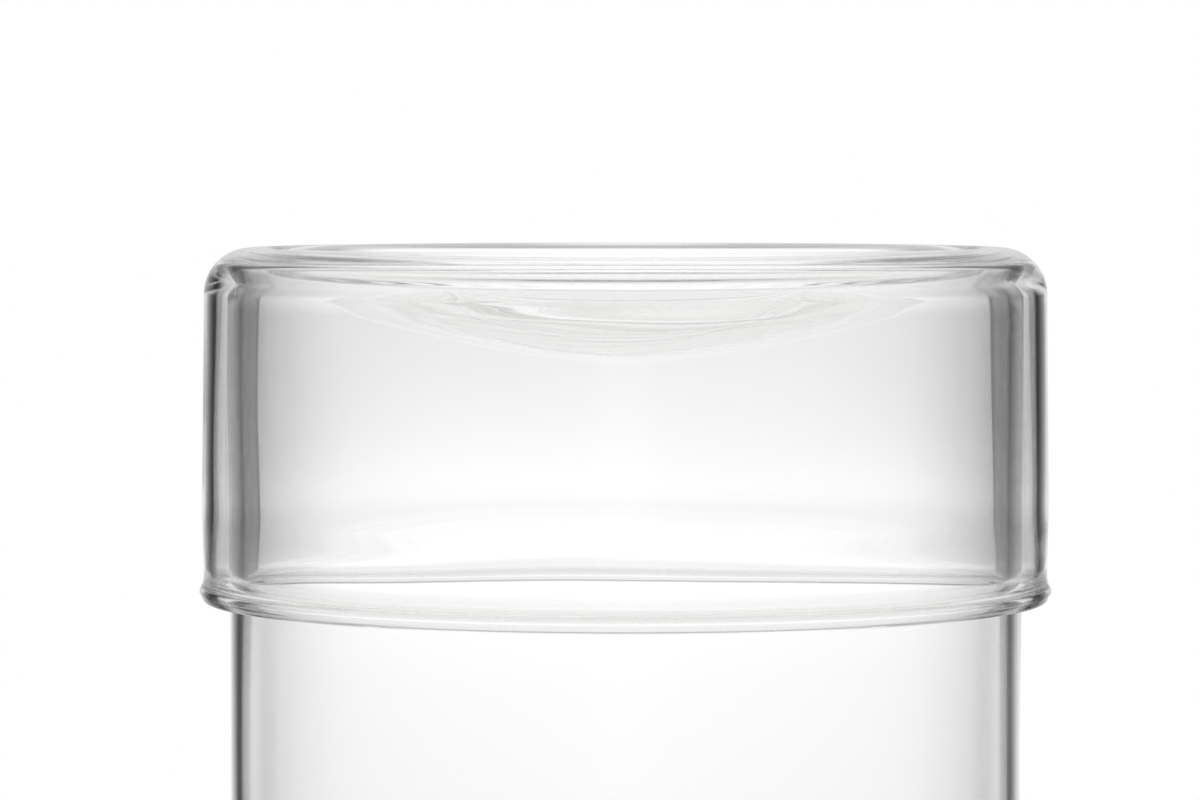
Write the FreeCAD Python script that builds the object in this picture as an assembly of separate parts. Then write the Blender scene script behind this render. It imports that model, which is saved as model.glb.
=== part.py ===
import FreeCAD, Part
import math
import os

# Lidded glass canister: a straight jar and a lid that slips over it, both clear borosilicate glass.
# Millimetres, +Z up. The origin is the middle of the foot, on the surface that the jar stands on.
# Both pieces are bodies of revolution about Z: each is one closed outline, turned once round.

# Jar: a straight tube with a closed base
jar_diameter = 100.0
jar_height = 150.0
jar_wall = 1.8
base_thickness = 3.0
heel_radius = 5.0             # outside corner between wall and base
inner_heel_radius = 3.2       # inside corner
foot_width = 6.0              # the flat ring that the jar stands on, inside the heel
push_up = 1.2                 # height of the middle of the base above that ring

# Lid: skirt and bead
side_gap = 1.4                # between the jar and the top of the skirt, all round
skirt_wall_top = 1.6
skirt_wall_bottom = 1.1
skirt_belly = 0.25            # how far the skirt swells out at its widest place
skirt_neck = 0.12             # the same, just above the bead
skirt_height = 43.2           # from the middle of the bead up to the crest
belly_height = 10.0           # from the middle of the bead up to the widest place
neck_height = 3.2             # from the middle of the bead up to where the skirt starts to flare
bead_radius = 1.2             # the rolled lower rim is round in section
bead_stand_out = 0.65         # how far the bead stands proud of the top of the skirt
bead_join = 32.0              # degrees round the bead, from outward, where the skirt runs in

# Lid: shoulder
shoulder_radius = 5.9         # outside radius of the rounded top edge
crest_wall = 1.6              # glass at the crest, the highest ring of the lid
hollow_radius = 3.0           # inside radius of the hollow under the crest
seat_gap = 0.3                # between the jar's rim and that hollow, where the lid sits
crest_inner_radius = 3.4      # outside radius of the crest on its inner side
flank_angle = 60.0            # degrees, how steeply the crest falls to the sunken top

# Lid: sunken top
dish_depth = 14.4             # from the crest down to the lowest place of the underside
dish_edge_drop = 5.5          # from the crest down to the edge of the underside
dish_edge_slope = 16.6        # degrees, slope of the underside at its edge
dish_corner_radius = 0.7      # the underside's rounded edge, beside the hollow
dish_wall_middle = 1.2
dish_wall_edge = 2.0
flank_width = 3.8             # from the underside's edge in to where the upper face levels out
dish_stations = 8             # places that carry each face of the sunken top

# Sizes that follow
jar_radius = jar_diameter / 2
rim_radius = jar_wall / 2
rim_middle = jar_radius - rim_radius
bore_radius = jar_radius - jar_wall
foot_outer_radius = jar_radius - heel_radius
foot_inner_radius = foot_outer_radius - foot_width
lid_radius = jar_radius + side_gap + skirt_wall_top
crest_radius = lid_radius - shoulder_radius

# The lid sits with the hollow under its crest over the jar's rounded rim.
hollow_middle = lid_radius - skirt_wall_top - hollow_radius
rim_reach = hollow_radius - rim_radius - seat_gap
rim_rise = math.sqrt(rim_reach ** 2 - (rim_middle - hollow_middle) ** 2)
hollow_height = jar_height - rim_radius - rim_rise
crest_height = hollow_height + hollow_radius + crest_wall
shoulder_height = crest_height - shoulder_radius
bead_height = crest_height - skirt_height
bead_middle = lid_radius + bead_stand_out - bead_radius

# The underside of the sunken top runs out to a rounded edge beside the hollow.
slope = math.radians(dish_edge_slope)
underside_edge_height = crest_height - dish_edge_drop
corner_height = underside_edge_height + dish_corner_radius * math.cos(slope)
corner_lift = max(0.0, corner_height - hollow_height)
corner_reach = hollow_radius + dish_corner_radius
corner_turn = math.degrees(math.asin(corner_lift / corner_reach))
corner_middle = hollow_middle - corner_reach * math.cos(math.radians(corner_turn))
underside_edge = corner_middle + dish_corner_radius * math.sin(slope)
underside_middle_height = crest_height - dish_depth
underside_rise = underside_edge_height - underside_middle_height
bowl_power = math.tan(slope) * underside_edge / underside_rise

down = FreeCAD.Vector(0, 0, -1)
up = FreeCAD.Vector(0, 0, 1)
inward = FreeCAD.Vector(-1, 0, 0)


def point(r, z):
    """A place on an outline: r out from the axis, z up from the foot."""
    return FreeCAD.Vector(r, 0, z)


def on_circle(r, z, radius, degrees):
    """The place on a circle about (r, z), by its angle up from the outward direction."""
    turn = math.radians(degrees)
    return point(r + radius * math.cos(turn), z + radius * math.sin(turn))


def along(degrees):
    """The direction at an angle up from the outward direction."""
    return on_circle(0, 0, 1, degrees)


def arc(r, z, radius, start, end):
    """An arc about (r, z), from one angle to another."""
    places = [on_circle(r, z, radius, degrees) for degrees in (start, (start + end) / 2, end)]
    return Part.Arc(*places).toShape()


def line(start, end):
    """A straight edge."""
    return Part.LineSegment(start, end).toShape()


def smooth(places, start_direction, end_direction):
    """A curve through the places, with the given directions at its two ends."""
    curve = Part.BSplineCurve()
    curve.interpolate(Points=places, InitialTangent=start_direction, FinalTangent=end_direction)
    return curve.toShape()


def dome(edge_radius, edge_height, rise):
    """A round cap's outline, from its edge in to the axis."""
    radius = (edge_radius ** 2 + rise ** 2) / (2 * rise)
    half_turn = math.degrees(math.asin(edge_radius / radius))
    return arc(0, edge_height + rise - radius, radius, 90 - half_turn, 90)


def turned(edges):
    """The solid that a closed outline sweeps in one turn about Z."""
    outline = Part.Wire(Part.__sortEdges__(edges))
    swept = Part.Face(outline).revolve(FreeCAD.Vector(0, 0, 0), up, 360)
    solid = swept.Solids[0] if swept.Solids else Part.Solid(Part.Shell(swept.Faces))
    if solid.Volume < 0:
        solid.reverse()
    return solid


def underside(r):
    """Height of the sunken top's lower face."""
    return underside_middle_height + underside_rise * (r / underside_edge) ** bowl_power


def upper_face(r):
    """Height of the sunken top's upper face, inside the crest's flank."""
    wall = dish_wall_middle + (dish_wall_edge - dish_wall_middle) * (r / underside_edge) ** 2
    return underside(r) + wall


def stations(edge):
    """Radii from an edge in to the axis."""
    return [edge * (1 - step / dish_stations) for step in range(dish_stations + 1)]


def slope_of(face, r):
    """The slope of a sunken face at r, in degrees, rising outward."""
    step = 0.01
    return math.degrees(math.atan((face(r + step) - face(r - step)) / (2 * step)))


def canister_body():
    """The jar: foot, heel, wall, fire-polished rim, and the floor inside."""
    floor_edge = bore_radius - inner_heel_radius
    inner_heel_height = base_thickness + inner_heel_radius
    rim_height = jar_height - rim_radius
    foot_edge = point(foot_outer_radius, 0)
    return turned([
        dome(foot_inner_radius, 0, push_up),
        line(point(foot_inner_radius, 0), foot_edge),
        arc(foot_outer_radius, heel_radius, heel_radius, -90, 0),
        line(point(jar_radius, heel_radius), point(jar_radius, rim_height)),
        arc(rim_middle, rim_height, rim_radius, 0, 180),
        line(point(bore_radius, rim_height), point(bore_radius, inner_heel_height)),
        arc(floor_edge, inner_heel_height, inner_heel_radius, 0, -90),
        dome(floor_edge, base_thickness, push_up),
        line(point(0, base_thickness + push_up), point(0, push_up)),
    ])


def skirt_side(top, bottom, top_height, side):
    """One face of the skirt, from the shoulder down to the bead. side is 1 outside, -1 inside."""
    join = 90 - side * (90 - bead_join)
    neck = point(bottom + skirt_neck, bead_height + neck_height)
    widest = point((top + bottom) / 2 + skirt_belly, bead_height + belly_height)
    wall = smooth([point(top, top_height), widest, neck], down, down)
    end = on_circle(bead_middle, bead_height, bead_radius, join)
    flare = smooth([neck, end], down, along(join - side * 90))
    return [wall, flare]


def lid():
    """The lid: bead, skirt, shoulder, crest and sunken top."""
    inner_top = lid_radius - skirt_wall_top
    inner_bottom = lid_radius - skirt_wall_bottom
    hollow_end = 180 - corner_turn
    flank_top = 90 + flank_angle
    crest_middle = crest_height - crest_inner_radius
    flank_start = on_circle(crest_radius, crest_middle, crest_inner_radius, flank_top)
    dish_edge = underside_edge - flank_width
    upper_places = [point(r, upper_face(r)) for r in stations(dish_edge)]
    lower_places = [point(r, underside(r)) for r in stations(underside_edge)]
    upper_direction = along(180 + slope_of(upper_face, dish_edge))
    lower_direction = along(180 + dish_edge_slope)
    edges = skirt_side(lid_radius, lid_radius, shoulder_height, 1)
    edges += skirt_side(inner_top, inner_bottom, hollow_height, -1)
    edges += [
        arc(bead_middle, bead_height, bead_radius, bead_join, -180 - bead_join),
        arc(hollow_middle, hollow_height, hollow_radius, 0, hollow_end),
        arc(corner_middle, corner_height, dish_corner_radius, -corner_turn, dish_edge_slope - 90),
        smooth(lower_places, lower_direction, inward),
        line(lower_places[-1], upper_places[-1]),
        smooth(upper_places, upper_direction, inward),
        smooth([flank_start, upper_places[0]], along(flank_top + 90), upper_direction),
        arc(crest_radius, crest_middle, crest_inner_radius, 90, flank_top),
        arc(crest_radius, shoulder_height, shoulder_radius, 0, 90),
    ]
    if corner_height < hollow_height:
        hollow_side = corner_middle + dish_corner_radius
        edges.append(line(point(hollow_side, hollow_height), point(hollow_side, corner_height)))
    return turned(edges)


def main():
    os.makedirs("parts", exist_ok=True)
    pieces = {"canister_body": canister_body(), "lid": lid()}
    for name, solid in pieces.items():
        solid.exportStep(os.path.join("parts", name + ".step"))
        box = solid.BoundBox
        print(name, "valid", solid.isValid(), "volume", round(solid.Volume, 1),
              "box", [round(value, 3) for value in (box.XLength, box.YLength, box.ZMin, box.ZMax)])


main()
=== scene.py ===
import math
import bpy
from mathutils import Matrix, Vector


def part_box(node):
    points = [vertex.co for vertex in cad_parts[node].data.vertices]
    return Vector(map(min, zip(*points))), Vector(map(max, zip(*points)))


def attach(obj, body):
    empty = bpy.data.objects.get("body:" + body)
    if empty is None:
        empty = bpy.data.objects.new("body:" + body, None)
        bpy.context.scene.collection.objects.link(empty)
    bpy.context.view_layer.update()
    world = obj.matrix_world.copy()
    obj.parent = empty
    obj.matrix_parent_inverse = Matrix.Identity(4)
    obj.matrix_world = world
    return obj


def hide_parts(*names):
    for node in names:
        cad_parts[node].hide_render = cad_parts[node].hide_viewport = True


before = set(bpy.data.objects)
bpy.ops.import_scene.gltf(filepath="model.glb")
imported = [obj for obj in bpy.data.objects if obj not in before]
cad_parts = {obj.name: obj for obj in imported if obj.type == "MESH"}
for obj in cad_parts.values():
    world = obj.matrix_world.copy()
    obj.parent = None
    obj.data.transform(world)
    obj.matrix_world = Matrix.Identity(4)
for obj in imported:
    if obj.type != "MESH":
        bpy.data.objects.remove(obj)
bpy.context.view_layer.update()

# Lidded canister of clear borosilicate glass: a jar drawn from tube and a lamp-worked lid.
# Sizes in the dictionaries are millimetres, as on a glassblower's drawing. The scene is in metres.
mm = 0.001
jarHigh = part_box("canister_body")[1]
lidLow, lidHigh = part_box("lid")
lidCrest = lidHigh[2] / mm
roundSteps = 320              # facets round the axis
samePoint = 0.0001            # a step of an outline that is shorter than this is left out
mergeWithin = 0.002           # corners closer than this become one


# Outlines are lists of (r, z) in mm, drawn from one end to the other.

def arcPoints(r, z, radius, start, end, steps):
    # an arc about (r, z), in degrees up from outward
    turns = [math.radians(start + (end - start) * i / steps) for i in range(steps + 1)]
    return [(r + radius * math.cos(turn), z + radius * math.sin(turn)) for turn in turns]


def flowPoints(start, startTurn, end, endTurn, steps):
    # a smooth curve that leaves one point and reaches the next in the given directions
    reach = math.dist(start, end)
    leave = (math.cos(math.radians(startTurn)) * reach, math.sin(math.radians(startTurn)) * reach)
    arrive = (math.cos(math.radians(endTurn)) * reach, math.sin(math.radians(endTurn)) * reach)
    points = []
    for i in range(steps + 1):
        t = i / steps
        ofStart = 2 * t ** 3 - 3 * t ** 2 + 1
        ofLeave = t ** 3 - 2 * t ** 2 + t
        ofEnd = 3 * t ** 2 - 2 * t ** 3
        ofArrive = t ** 3 - t ** 2
        points.append(tuple(ofStart * start[k] + ofLeave * leave[k] + ofEnd * end[k] + ofArrive * arrive[k]
                            for k in (0, 1)))
    return points


def straightPoints(start, end, steps):
    return [(start[0] + (end[0] - start[0]) * i / steps, start[1] + (end[1] - start[1]) * i / steps)
            for i in range(steps + 1)]


def domePoints(edge, height, rise, steps):
    # a shallow round cap, from its edge in to the axis
    radius = (edge ** 2 + rise ** 2) / (2 * rise)
    half = math.degrees(math.asin(edge / radius))
    return arcPoints(0, height + rise - radius, radius, 90 - half, 90, steps)


def turnOnLathe(name, outline):
    # one vertex, extruded along the outline and spun round the axis
    bpy.ops.object.select_all(action='DESELECT')
    places = [Vector((r * mm, 0, z * mm)) for r, z in outline]
    bpy.ops.mesh.primitive_plane_add(size=mm, location=places[0])
    piece = bpy.context.object
    piece.name = name
    piece.data.name = name
    bpy.ops.object.transform_apply(location=True, rotation=False, scale=False)
    bpy.ops.object.mode_set(mode='EDIT')
    bpy.ops.mesh.select_all(action='SELECT')
    bpy.ops.mesh.merge(type='CENTER')
    for last, place in zip(places, places[1:]):
        if (place - last).length > samePoint * mm:
            bpy.ops.mesh.extrude_vertices_move(TRANSFORM_OT_translate={"value": place - last})
    bpy.ops.mesh.select_all(action='SELECT')
    bpy.ops.mesh.spin(steps=roundSteps, angle=math.tau, center=(0, 0, 0), axis=(0, 0, 1))
    bpy.ops.mesh.select_all(action='SELECT')
    bpy.ops.mesh.remove_doubles(threshold=mergeWithin * mm)
    bpy.ops.mesh.normals_make_consistent(inside=False)
    bpy.ops.object.mode_set(mode='OBJECT')
    bpy.ops.object.shade_smooth()
    return piece


def handmadeWaves(piece, size, depth):
    # glass worked in a flame is never quite even: long shallow waves in both faces of the wall
    waves = bpy.data.textures.new(piece.name + "Waves", type='CLOUDS')
    waves.noise_scale = size * mm
    waves.noise_depth = 0
    modifier = piece.modifiers.new("handmade waves", 'DISPLACE')
    modifier.texture = waves
    modifier.texture_coords = 'LOCAL'
    modifier.strength = depth * mm
    modifier.mid_level = 1.0      # the waves only take glass away, so nothing grows past its drawing
    bpy.context.view_layer.objects.active = piece
    bpy.ops.object.modifier_apply(modifier=modifier.name)


def linearColour(hexText):
    channels = [int(hexText[i:i + 2], 16) / 255 for i in (1, 3, 5)]
    return [c / 12.92 if c <= 0.04045 else ((c + 0.055) / 1.055) ** 2.4 for c in channels] + [1.0]


def addNode(tree, kind, settings, links=()):
    # settings name a property or an input, links are (input, output it comes from)
    node = tree.nodes.new(kind)
    for key, value in settings.items():
        if isinstance(key, int) or key in node.inputs:
            node.inputs[key].default_value = value
        else:
            setattr(node, key, value)
    for key, source in links:
        tree.links.new(source, node.inputs[key])
    return node


def newMaterial(name):
    material = bpy.data.materials.new(name)
    material.use_nodes = True
    material.node_tree.nodes.clear()
    return material, material.node_tree


# The glass of both pieces: borosilicate 3.3, too thin for its faint tint to show
glass = {
    "tint": "#FFFFFF",
    "ior": 1.473,
    "smudgeStart": 0.52,      # noise level where a smudge starts, and where it is at its dullest
    "smudgeFull": 0.8,
    "smudgeRough": 0.03,
    "smudgeDetail": 3.0,
}


def handledRoughness(tree, objectPlace, size):
    # fingers leave a few soft smudges, which only dull the polish a little
    noise = addNode(tree, 'ShaderNodeTexNoise', {"Scale": 1 / (size * mm), "Detail": glass["smudgeDetail"]},
                    [("Vector", objectPlace)])
    smudges = addNode(tree, 'ShaderNodeMapRange',
                      {"From Min": glass["smudgeStart"], "From Max": glass["smudgeFull"],
                       "To Max": glass["smudgeRough"]},
                      [("Value", noise.outputs[0])])
    return smudges.outputs[0]


def clearGlass(tree, roughness, normal):
    shader = addNode(tree, 'ShaderNodeBsdfPrincipled',
                     {"Base Color": linearColour(glass["tint"]), "IOR": glass["ior"],
                      "Transmission Weight": 1.0},
                     [("Roughness", roughness), ("Normal", normal)])
    addNode(tree, 'ShaderNodeOutputMaterial', {}, [("Surface", shader.outputs[0])])


# Jar: a straight tube with its base drawn in, its rim melted round in the flame
jar = {
    "radius": jarHigh[0] / mm,
    "height": jarHigh[2] / mm,
    "wall": 1.8,
    "base": 3.0,
    "heel": 5.0,              # outside corner of the base
    "innerHeel": 3.2,
    "footWidth": 6.0,         # flat ring it stands on
    "pushUp": 1.2,            # how far the middle of the base is pushed up
    "underSteps": 12,         # facets along each stretch of the outline
    "footSteps": 4,
    "heelSteps": 14,
    "wallSteps": 30,
    "rimSteps": 14,
    "innerHeelSteps": 12,
    "floorSteps": 14,
    "waveSize": 34,
    "waveDepth": 0.05,
    "striaSpacing": 2.4,      # faint draw lines down the tube
    "striaLength": 90,
    "striaDetail": 1.0,
    "striaDepth": 0.02,
    "striaStrength": 0.12,
    "smudgeSize": 28,
    "footWear": 0.35,         # height of the worn ring
    "scratchSpacing": 0.5,
    "scratchDetail": 4.0,
}


def makeJar():
    bore = jar["radius"] - jar["wall"]
    footOuter = jar["radius"] - jar["heel"]
    footInner = footOuter - jar["footWidth"]
    floorEdge = bore - jar["innerHeel"]
    rim = jar["wall"] / 2
    rimHeight = jar["height"] - rim
    innerHeelHeight = jar["base"] + jar["innerHeel"]
    outline = domePoints(footInner, 0, jar["pushUp"], jar["underSteps"])[::-1]
    outline += straightPoints((footInner, 0), (footOuter, 0), jar["footSteps"])
    outline += arcPoints(footOuter, jar["heel"], jar["heel"], -90, 0, jar["heelSteps"])
    outline += straightPoints((jar["radius"], jar["heel"]), (jar["radius"], rimHeight), jar["wallSteps"])
    outline += arcPoints(jar["radius"] - rim, rimHeight, rim, 0, 180, jar["rimSteps"])
    outline += straightPoints((bore, rimHeight), (bore, innerHeelHeight), jar["wallSteps"])
    outline += arcPoints(floorEdge, innerHeelHeight, jar["innerHeel"], 0, -90, jar["innerHeelSteps"])
    outline += domePoints(floorEdge, jar["base"], jar["pushUp"], jar["floorSteps"])
    piece = turnOnLathe("canisterBody", outline)
    handmadeWaves(piece, jar["waveSize"], jar["waveDepth"])
    piece.data.materials.append(drawnTubeGlass())
    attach(piece, "jar")
    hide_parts("canister_body")


def drawnTubeGlass():
    # Borosilicate 3.3, machine-drawn tube. Drawing leaves faint lines down the wall, handling leaves
    # a few soft smudges, and standing on shelves scuffs the foot ring to a fine matt line.
    material, tree = newMaterial("drawnBorosilicateTube")
    coords = addNode(tree, 'ShaderNodeTexCoord', {})
    objectPlace = coords.outputs['Object']
    across = 1 / (jar["striaSpacing"] * mm)
    down = 1 / (jar["striaLength"] * mm)
    stretched = addNode(tree, 'ShaderNodeMapping', {"Scale": (across, across, down)},
                        [("Vector", objectPlace)])
    striae = addNode(tree, 'ShaderNodeTexNoise', {"Scale": 1.0, "Detail": jar["striaDetail"]},
                     [("Vector", stretched.outputs[0])])
    bump = addNode(tree, 'ShaderNodeBump',
                   {"Strength": jar["striaStrength"], "Distance": jar["striaDepth"] * mm},
                   [("Height", striae.outputs[0])])
    split = addNode(tree, 'ShaderNodeSeparateXYZ', {}, [("Vector", objectPlace)])
    onFoot = addNode(tree, 'ShaderNodeMapRange', {"From Min": jar["footWear"] * mm, "From Max": 0.0},
                     [("Value", split.outputs['Z'])])
    scratches = addNode(tree, 'ShaderNodeTexNoise',
                        {"Scale": 1 / (jar["scratchSpacing"] * mm), "Detail": jar["scratchDetail"]},
                        [("Vector", objectPlace)])
    scuff = addNode(tree, 'ShaderNodeMath', {"operation": 'MULTIPLY'},
                    [(0, onFoot.outputs[0]), (1, scratches.outputs[0])])
    rough = addNode(tree, 'ShaderNodeMath', {"operation": 'MAXIMUM'},
                    [(0, scuff.outputs[0]), (1, handledRoughness(tree, objectPlace, jar["smudgeSize"]))])
    clearGlass(tree, rough.outputs[0], bump.outputs[0])
    return material


# Lid: a skirt that slips over the jar, a rolled bead below, a rounded shoulder and a sunken top
lid = {
    "sideGap": 1.4,           # between the jar and the top of the skirt
    "skirtTop": 1.6,          # wall there, and just above the bead
    "skirtBottom": 1.1,
    "belly": 0.25,            # how far the skirt swells out, and at what height over the bead
    "bellyHeight": 10.0,
    "neck": 0.12,             # the same, where the skirt starts to flare into the bead
    "neckHeight": 3.2,
    "bead": 1.2,              # radius of the bead's round section
    "beadStandOut": 0.65,
    "beadJoin": 32,           # degrees up the bead where the skirt runs in
    "shoulder": 5.9,
    "hollow": 3.0,            # inside radius under the crest, where the jar's rim sits
    "crestWall": 1.6,
    "innerCrest": 3.4,
    "flankTurn": 60,          # degrees, how steeply the crest falls to the sunken top
    "dishDepth": 14.4,
    "dishEdgeDrop": 5.5,
    "dishEdgeSlope": 16.6,
    "corner": 0.7,
    "dishMiddleWall": 1.2,
    "dishEdgeWall": 2.0,
    "flankWidth": 3.8,
    "dishSteps": 60,          # facets along each stretch of the outline
    "cornerSteps": 8,
    "hollowSteps": 32,
    "skirtSteps": 16,
    "neckSteps": 6,
    "flareSteps": 6,
    "beadSteps": 44,
    "shoulderSteps": 24,
    "innerCrestSteps": 12,
    "flankSteps": 12,
    "waveSize": 26,
    "waveDepth": 0.05,
    "ringSpacing": 9.0,       # faint rings that the paddle leaves in the turning lid
    "ringDistortion": 2.5,
    "ringDetail": 1.0,
    "ringDetailScale": 0.6,
    "ringDepth": 0.03,
    "ringStrength": 0.1,
    "smudgeSize": 22,
}


def makeLid():
    radius = jar["radius"] + lid["sideGap"] + lid["skirtTop"]
    innerTop = radius - lid["skirtTop"]
    innerBottom = radius - lid["skirtBottom"]
    crestMiddle = radius - lid["shoulder"]
    shoulderHeight = lidCrest - lid["shoulder"]
    hollowMiddle = innerTop - lid["hollow"]
    hollowHeight = lidCrest - lid["crestWall"] - lid["hollow"]
    beadMiddle = radius + lid["beadStandOut"] - lid["bead"]
    beadHeight = lidLow[2] / mm + lid["bead"]

    # the sunken top: both faces follow a bowl that steepens outward
    slope = math.radians(lid["dishEdgeSlope"])
    edgeHeight = lidCrest - lid["dishEdgeDrop"]
    cornerHeight = edgeHeight + lid["corner"] * math.cos(slope)
    cornerReach = lid["hollow"] + lid["corner"]
    cornerTurn = math.degrees(math.asin(max(0.0, cornerHeight - hollowHeight) / cornerReach))
    cornerMiddle = hollowMiddle - cornerReach * math.cos(math.radians(cornerTurn))
    edge = cornerMiddle + lid["corner"] * math.sin(slope)
    lowest = lidCrest - lid["dishDepth"]
    bowlPower = math.tan(slope) * edge / (edgeHeight - lowest)

    def lowerFace(r):
        return lowest + (edgeHeight - lowest) * (r / edge) ** bowlPower

    def upperFace(r):
        thickening = (lid["dishEdgeWall"] - lid["dishMiddleWall"]) * (r / edge) ** 2
        return lowerFace(r) + lid["dishMiddleWall"] + thickening

    def facePoints(face, reach):
        # one face of the sunken top, from the axis out
        steps = lid["dishSteps"]
        return [(reach * i / steps, face(reach * i / steps)) for i in range(steps + 1)]

    def bellied(top, bottom, topHeight):
        # one face of the skirt, from the shoulder down to the neck above the bead
        widest = ((top + bottom) / 2 + lid["belly"], beadHeight + lid["bellyHeight"])
        neck = (bottom + lid["neck"], beadHeight + lid["neckHeight"])
        wall = flowPoints((top, topHeight), -90, widest, -90, lid["skirtSteps"])
        return wall + flowPoints(widest, -90, neck, -90, lid["neckSteps"])

    join = lid["beadJoin"]
    bead = arcPoints(beadMiddle, beadHeight, lid["bead"], 180 - join, 360 + join, lid["beadSteps"])
    outerSkirt = bellied(radius, radius, shoulderHeight)
    innerSkirt = bellied(innerTop, innerBottom, hollowHeight)
    dishEdge = edge - lid["flankWidth"]
    step = 0.01                   # either side of the edge, to read the face's slope
    dishTurn = math.degrees(math.atan((upperFace(dishEdge + step) - upperFace(dishEdge - step)) / (2 * step)))
    flankTop = 90 + lid["flankTurn"]
    innerCrestHeight = lidCrest - lid["innerCrest"]

    outline = facePoints(lowerFace, edge)
    outline += arcPoints(cornerMiddle, cornerHeight, lid["corner"], lid["dishEdgeSlope"] - 90, -cornerTurn,
                         lid["cornerSteps"])
    outline += arcPoints(hollowMiddle, hollowHeight, lid["hollow"], 180 - cornerTurn, 0, lid["hollowSteps"])
    outline += innerSkirt
    outline += flowPoints(innerSkirt[-1], -90, bead[0], join - 270, lid["flareSteps"])
    outline += bead
    outline += flowPoints(outerSkirt[-1], -90, bead[-1], join - 90, lid["flareSteps"])[::-1]
    outline += outerSkirt[::-1]
    outline += arcPoints(crestMiddle, shoulderHeight, lid["shoulder"], 0, 90, lid["shoulderSteps"])
    outline += arcPoints(crestMiddle, innerCrestHeight, lid["innerCrest"], 90, flankTop,
                         lid["innerCrestSteps"])
    outline += flowPoints(outline[-1], flankTop + 90, (dishEdge, upperFace(dishEdge)), 180 + dishTurn,
                          lid["flankSteps"])
    outline += facePoints(upperFace, dishEdge)[::-1]
    piece = turnOnLathe("glassLid", outline)
    handmadeWaves(piece, lid["waveSize"], lid["waveDepth"])
    piece.data.materials.append(lampWorkedGlass())
    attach(piece, "lid")
    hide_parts("lid")


def lampWorkedGlass():
    # Borosilicate 3.3, shaped by hand on a glass lathe. The paddle leaves soft rings and slow ripples
    # that break up the lights seen in it.
    material, tree = newMaterial("lampWorkedBorosilicate")
    coords = addNode(tree, 'ShaderNodeTexCoord', {})
    objectPlace = coords.outputs['Object']
    ringScale = math.tau / 20 / (lid["ringSpacing"] * mm)       # Wave has one crest each tau / 20 units
    rings = addNode(tree, 'ShaderNodeTexWave',
                    {"wave_type": 'RINGS', "rings_direction": 'Z', "Scale": ringScale,
                     "Distortion": lid["ringDistortion"], "Detail": lid["ringDetail"],
                     "Detail Scale": lid["ringDetailScale"]},
                    [("Vector", objectPlace)])
    bump = addNode(tree, 'ShaderNodeBump',
                   {"Strength": lid["ringStrength"], "Distance": lid["ringDepth"] * mm},
                   [("Height", rings.outputs[1])])
    clearGlass(tree, handledRoughness(tree, objectPlace, lid["smudgeSize"]), bump.outputs[0])
    return material


# Studio: a white tent with dark flags beside the glass, which draw its edges. Each list holds light
# levels by degrees: an Aside list goes round from straight ahead (+Y), a Height list up from level.
studio = {
    # light that comes through one wall: the open tent, the flag's soft edge, then the flag
    "tentAside": [(0, 1.0), (4.3, 0.95), (9.4, 0.88), (15.2, 0.88), (15.8, 0.5), (20, 0.4), (23.5, 0.18),
                  (27, 0.03), (36, 0.02), (40, 0.3), (45, 0.5), (50, 0.25), (54, 0.02), (67, 0.02)],
    # the same at the sides and the back, where each eighth of the circle has its own open middle
    "backTentAside": [(0, 1.0), (15.2, 0.88), (15.8, 0.5), (19, 0.1), (22.5, 0.04)],
    "eighth": 22.5,           # half of an eighth of the circle
    "frontHalf": 67.5,        # degrees round from straight ahead to where the sides begin
    "tentHeight": [(-90, 1.0), (-20, 1.05), (-7, 1.02), (-5.2, 1.07), (-4.2, 1.22), (-3.4, 1.25),
                   (-2.5, 1.16), (-1.9, 1.08), (-1, 0.98), (20, 0.95), (26, 0.5), (38, 0.5), (44, 1.05),
                   (90, 1.3)],
    "flagMiddle": 38.75,      # degrees round to the middle of a flag, and half its width
    "flagHalf": 23.25,
    "flagHeight": [(-90, 1.0), (-8, 1.3), (-5.4, 1.2), (-4.4, 0.55), (-3, 0.4), (5, 0.4), (30, 0.8),
                   (90, 1.0)],
    "flagTop": (12, 26),      # the flags fade out between these heights
    "flagFoot": (-12, -26),
    # light that has run about inside the glass before it comes out
    "farAside": [(0, 1.0), (4.3, 0.95), (9.4, 0.88), (15.2, 0.88), (15.8, 0.5), (20, 0.4), (23.5, 0.18),
                 (27, 0.03), (50, 0.02), (66, 0.1), (74, 0.5), (80, 0.8), (90, 0.95), (180, 0.95)],
    "backHeight": [(-90, 1.0), (-14, 0.9), (-8, 0.4), (0, 0.4), (2, 1.0), (90, 1.0)],
    # light mirrored straight off the outside
    "mirroredAside": [(0, 1.0), (12, 0.95), (17, 0.6), (21, 0.4), (25, 0.2), (28, 0.08), (32, 0.08),
                      (35, 0.45), (45, 0.5), (50, 0.35), (56, 0.4), (64, 0.75), (110, 0.9), (180, 0.95)],
    "mirroredHeight": [(-90, 0.1), (-16, 0.1), (-9, 0.5), (-7.5, 1.25), (-5.5, 1.25), (-4.6, 0.9),
                       (-3.8, 0.75), (-2, 0.7), (10, 0.8), (40, 1.0), (90, 1.3)],
    "unmirrored": 0.5,        # fewer mirrorings than this is none
    "oneWall": 2.5,           # light that has crossed one wall has passed two surfaces
    "background": 1.0,
    "floorLight": 1.0,        # light on the floor
    "floorRadius": 0.62,      # metres
    "floorSolid": 0.25,       # inside this radius the floor is opaque, and from there it fades into the tent
    "floorCorners": 96,
    "floorColour": "#F4F4F2",
}


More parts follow.
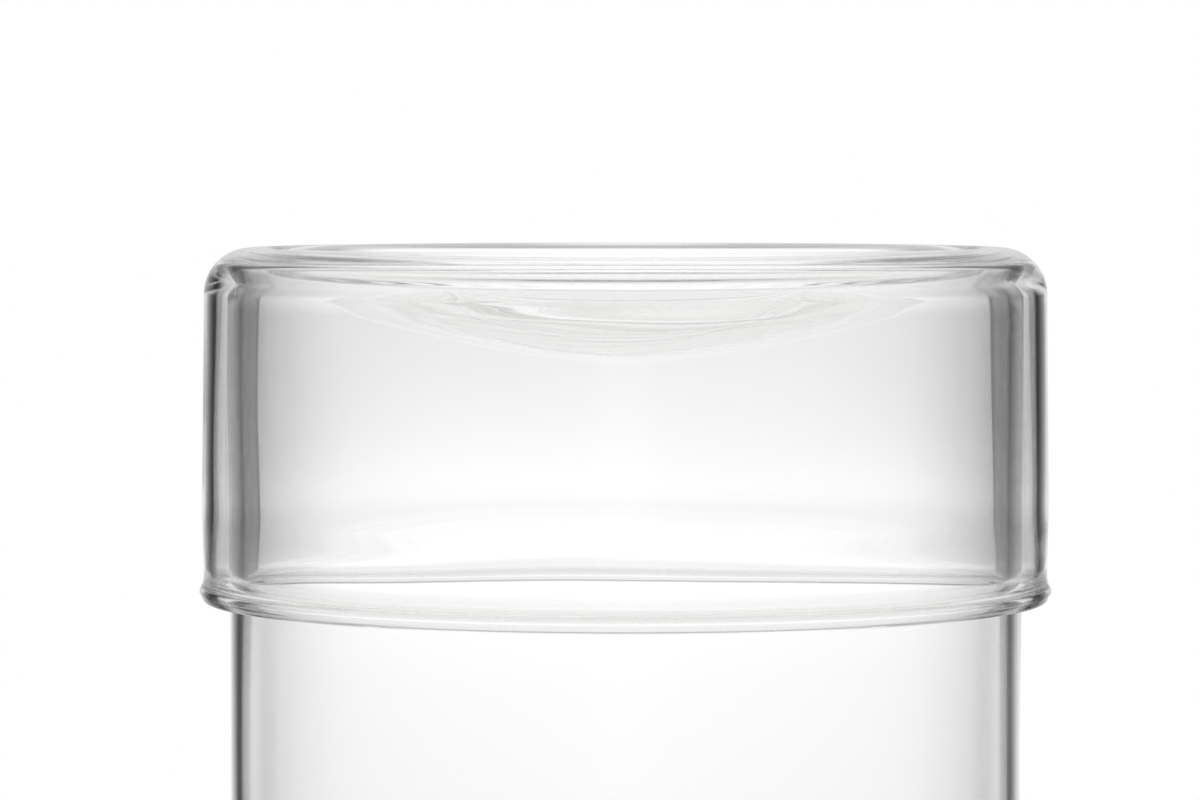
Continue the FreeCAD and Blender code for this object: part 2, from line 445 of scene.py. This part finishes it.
def makeStudio():
    world = bpy.data.worlds.new("whiteTent")
    bpy.context.scene.world = world
    world.use_nodes = True
    tree = world.node_tree
    tree.nodes.clear()
    coords = addNode(tree, 'ShaderNodeTexCoord', {})
    way = addNode(tree, 'ShaderNodeSeparateXYZ', {}, [("Vector", coords.outputs['Generated'])])
    turn = addNode(tree, 'ShaderNodeMath', {"operation": 'ARCTAN2'},
                   [(0, way.outputs['X']), (1, way.outputs['Y'])])
    turnDegrees = addNode(tree, 'ShaderNodeMath', {"operation": 'MULTIPLY', 1: math.degrees(1)},
                          [(0, turn.outputs[0])])
    aside = addNode(tree, 'ShaderNodeMath', {"operation": 'ABSOLUTE'},
                    [(0, turnDegrees.outputs[0])]).outputs[0]
    rise = addNode(tree, 'ShaderNodeMath', {"operation": 'ARCSINE'}, [(0, way.outputs['Z'])])
    height = addNode(tree, 'ShaderNodeMath', {"operation": 'MULTIPLY', 1: math.degrees(1)},
                     [(0, rise.outputs[0])]).outputs[0]

    def level(name, degrees):
        # one of the lists of light levels, as a ramp over its own range of degrees
        stops = studio[name]
        lowest, highest = stops[0][0], stops[-1][0]
        share = addNode(tree, 'ShaderNodeMapRange', {"From Min": lowest, "From Max": highest},
                        [("Value", degrees)])
        ramp = addNode(tree, 'ShaderNodeValToRGB', {}, [("Fac", share.outputs[0])])
        marks = ramp.color_ramp.elements
        marks.remove(marks[1])
        for index, (place, value) in enumerate(stops):
            mark = marks[0] if index == 0 else marks.new((place - lowest) / (highest - lowest))
            mark.position = (place - lowest) / (highest - lowest)
            mark.color = (value, value, value, 1)
        return ramp.outputs[0]

    tentHeight = level("tentHeight", height)
    flagHeight = level("flagHeight", height)
    overFlags = addNode(tree, 'ShaderNodeMapRange',
                        {"From Min": studio["flagTop"][0], "From Max": studio["flagTop"][1]},
                        [("Value", height)])
    underFlags = addNode(tree, 'ShaderNodeMapRange',
                         {"From Min": studio["flagFoot"][0], "From Max": studio["flagFoot"][1]},
                         [("Value", height)])
    clearOfFlags = addNode(tree, 'ShaderNodeMath', {"operation": 'MAXIMUM'},
                           [(0, overFlags.outputs[0]), (1, underFlags.outputs[0])])

    def tentLight(name, degrees):
        # the open tent and the flags in it, which fade out above and below
        tent = addNode(tree, 'ShaderNodeMath', {"operation": 'MULTIPLY'},
                       [(0, level(name, degrees)), (1, tentHeight)])
        flag = addNode(tree, 'ShaderNodeMath', {"operation": 'MULTIPLY'},
                       [(0, tent.outputs[0]), (1, flagHeight)])
        onFlag = addNode(tree, 'ShaderNodeMath',
                         {"operation": 'COMPARE', 1: studio["flagMiddle"], 2: studio["flagHalf"]},
                         [(0, degrees)])
        banded = addNode(tree, 'ShaderNodeMix', {"data_type": 'FLOAT'},
                         [(0, onFlag.outputs[0]), (2, tent.outputs[0]), (3, flag.outputs[0])])
        return addNode(tree, 'ShaderNodeMix', {"data_type": 'FLOAT'},
                       [(0, clearOfFlags.outputs[0]), (2, banded.outputs[0]), (3, tentHeight)])

    # which light a ray sees goes by what it has passed on its way
    paths = addNode(tree, 'ShaderNodeLightPath', {})
    unmirrored = addNode(tree, 'ShaderNodeMath', {"operation": 'LESS_THAN', 1: studio["unmirrored"]},
                         [(0, paths.outputs['Glossy Depth'])])
    oneWall = addNode(tree, 'ShaderNodeMath', {"operation": 'LESS_THAN', 1: studio["oneWall"]},
                      [(0, paths.outputs['Transmission Depth'])])
    onFront = addNode(tree, 'ShaderNodeMath', {"operation": 'LESS_THAN', 1: studio["frontHalf"]},
                      [(0, aside)])
    onBack = addNode(tree, 'ShaderNodeMath', {"operation": 'GREATER_THAN', 1: studio["frontHalf"]},
                     [(0, aside)])
    nearFront = addNode(tree, 'ShaderNodeMath', {"operation": 'MULTIPLY'},
                        [(0, onFront.outputs[0]), (1, oneWall.outputs[0])])
    straight = addNode(tree, 'ShaderNodeMath', {"operation": 'MAXIMUM'},
                       [(0, unmirrored.outputs[0]), (1, nearFront.outputs[0])])
    folded = addNode(tree, 'ShaderNodeMath', {"operation": 'PINGPONG', 1: studio["eighth"]}, [(0, aside)])
    tentAround = addNode(tree, 'ShaderNodeMix', {"data_type": 'FLOAT'},
                         [(0, onBack.outputs[0]), (2, tentLight("tentAside", aside).outputs[0]),
                          (3, tentLight("backTentAside", folded.outputs[0]).outputs[0])])
    far = tentLight("farAside", aside)
    farBack = addNode(tree, 'ShaderNodeMath', {"operation": 'MULTIPLY'},
                      [(0, far.outputs[0]), (1, level("backHeight", height))])
    farAround = addNode(tree, 'ShaderNodeMix', {"data_type": 'FLOAT'},
                        [(0, onBack.outputs[0]), (2, far.outputs[0]), (3, farBack.outputs[0])])
    through = addNode(tree, 'ShaderNodeMix', {"data_type": 'FLOAT'},
                      [(0, straight.outputs[0]), (2, farAround.outputs[0]), (3, tentAround.outputs[0])])
    mirrored = addNode(tree, 'ShaderNodeMath', {"operation": 'MULTIPLY'},
                       [(0, level("mirroredAside", aside)), (1, level("mirroredHeight", height))])
    inGlass = addNode(tree, 'ShaderNodeMix', {"data_type": 'FLOAT'},
                      [(0, paths.outputs['Is Transmission Ray']), (2, mirrored.outputs[0]),
                       (3, through.outputs[0])])
    onFloor = addNode(tree, 'ShaderNodeMix', {"data_type": 'FLOAT', 3: studio["floorLight"]},
                      [(0, paths.outputs['Is Diffuse Ray']), (2, inGlass.outputs[0])])
    seen = addNode(tree, 'ShaderNodeMix', {"data_type": 'FLOAT', 3: studio["background"]},
                   [(0, paths.outputs['Is Camera Ray']), (2, onFloor.outputs[0])])
    background = addNode(tree, 'ShaderNodeBackground', {}, [("Color", seen.outputs[0])])
    addNode(tree, 'ShaderNodeOutputWorld', {}, [("Surface", background.outputs[0])])


def makeFloor():
    bpy.ops.object.select_all(action='DESELECT')
    bpy.ops.mesh.primitive_circle_add(vertices=studio["floorCorners"], radius=studio["floorRadius"],
                                      fill_type='NGON')
    floor = bpy.context.object
    floor.name = "paleFloor"
    floor.data.materials.append(mattAcrylic())
    floor.visible_glossy = False            # what the glass mirrors from below is dark, so its edges show


def mattAcrylic():
    # White acrylic sheet with a sanded face: an even matt white, with no lights mirrored in it.
    material, tree = newMaterial("matWhiteAcrylicFloor")
    coords = addNode(tree, 'ShaderNodeTexCoord', {})
    reach = addNode(tree, 'ShaderNodeVectorMath', {"operation": 'LENGTH'}, [(0, coords.outputs['Object'])])
    fade = addNode(tree, 'ShaderNodeMapRange',
                   {"interpolation_type": 'SMOOTHSTEP', "From Min": studio["floorSolid"],
                    "From Max": studio["floorRadius"]},
                   [("Value", reach.outputs['Value'])])
    matt = addNode(tree, 'ShaderNodeBsdfDiffuse', {"Color": linearColour(studio["floorColour"])})
    clear = addNode(tree, 'ShaderNodeBsdfTransparent', {})
    faded = addNode(tree, 'ShaderNodeMixShader', {},
                    [(0, fade.outputs[0]), (1, matt.outputs[0]), (2, clear.outputs[0])])
    addNode(tree, 'ShaderNodeOutputMaterial', {}, [("Surface", faded.outputs[0])])
    return material


# Camera: a long lens, a little above the lid, looking slightly down
view = {
    "distance": 650,
    "aboveCrest": 8.6,
    "sensor": 36,
    "lens": 154.8,
    "nearest": 10,
    "downTurn": 2.456,        # degrees
    "sideTurn": 0.281,
}


def makeCamera():
    data = bpy.data.cameras.new("studioCamera")
    data.lens = view["lens"]
    data.sensor_width = view["sensor"]
    data.clip_start = view["nearest"] * mm
    camera = bpy.data.objects.new("studioCamera", data)
    bpy.context.collection.objects.link(camera)
    camera.location = (0, -view["distance"] * mm, (lidCrest + view["aboveCrest"]) * mm)
    camera.rotation_euler = (math.radians(90 - view["downTurn"]), 0, math.radians(view["sideTurn"]))
    bpy.context.scene.camera = camera


# How light is followed
tracing = {
    "bounces": 96,            # light runs round inside the walls, and is black where it is cut short
    "blur": 0.35,             # keeps the glass clear for light that comes back up from the floor
}


def setTracing():
    scene = bpy.context.scene
    scene.view_settings.view_transform = 'Standard'
    scene.cycles.blur_glossy = tracing["blur"]
    scene.cycles.max_bounces = tracing["bounces"]
    scene.cycles.glossy_bounces = tracing["bounces"]
    scene.cycles.transmission_bounces = tracing["bounces"]


makeJar()
makeLid()
makeStudio()
makeFloor()
makeCamera()
setTracing()
print("studio and camera set")
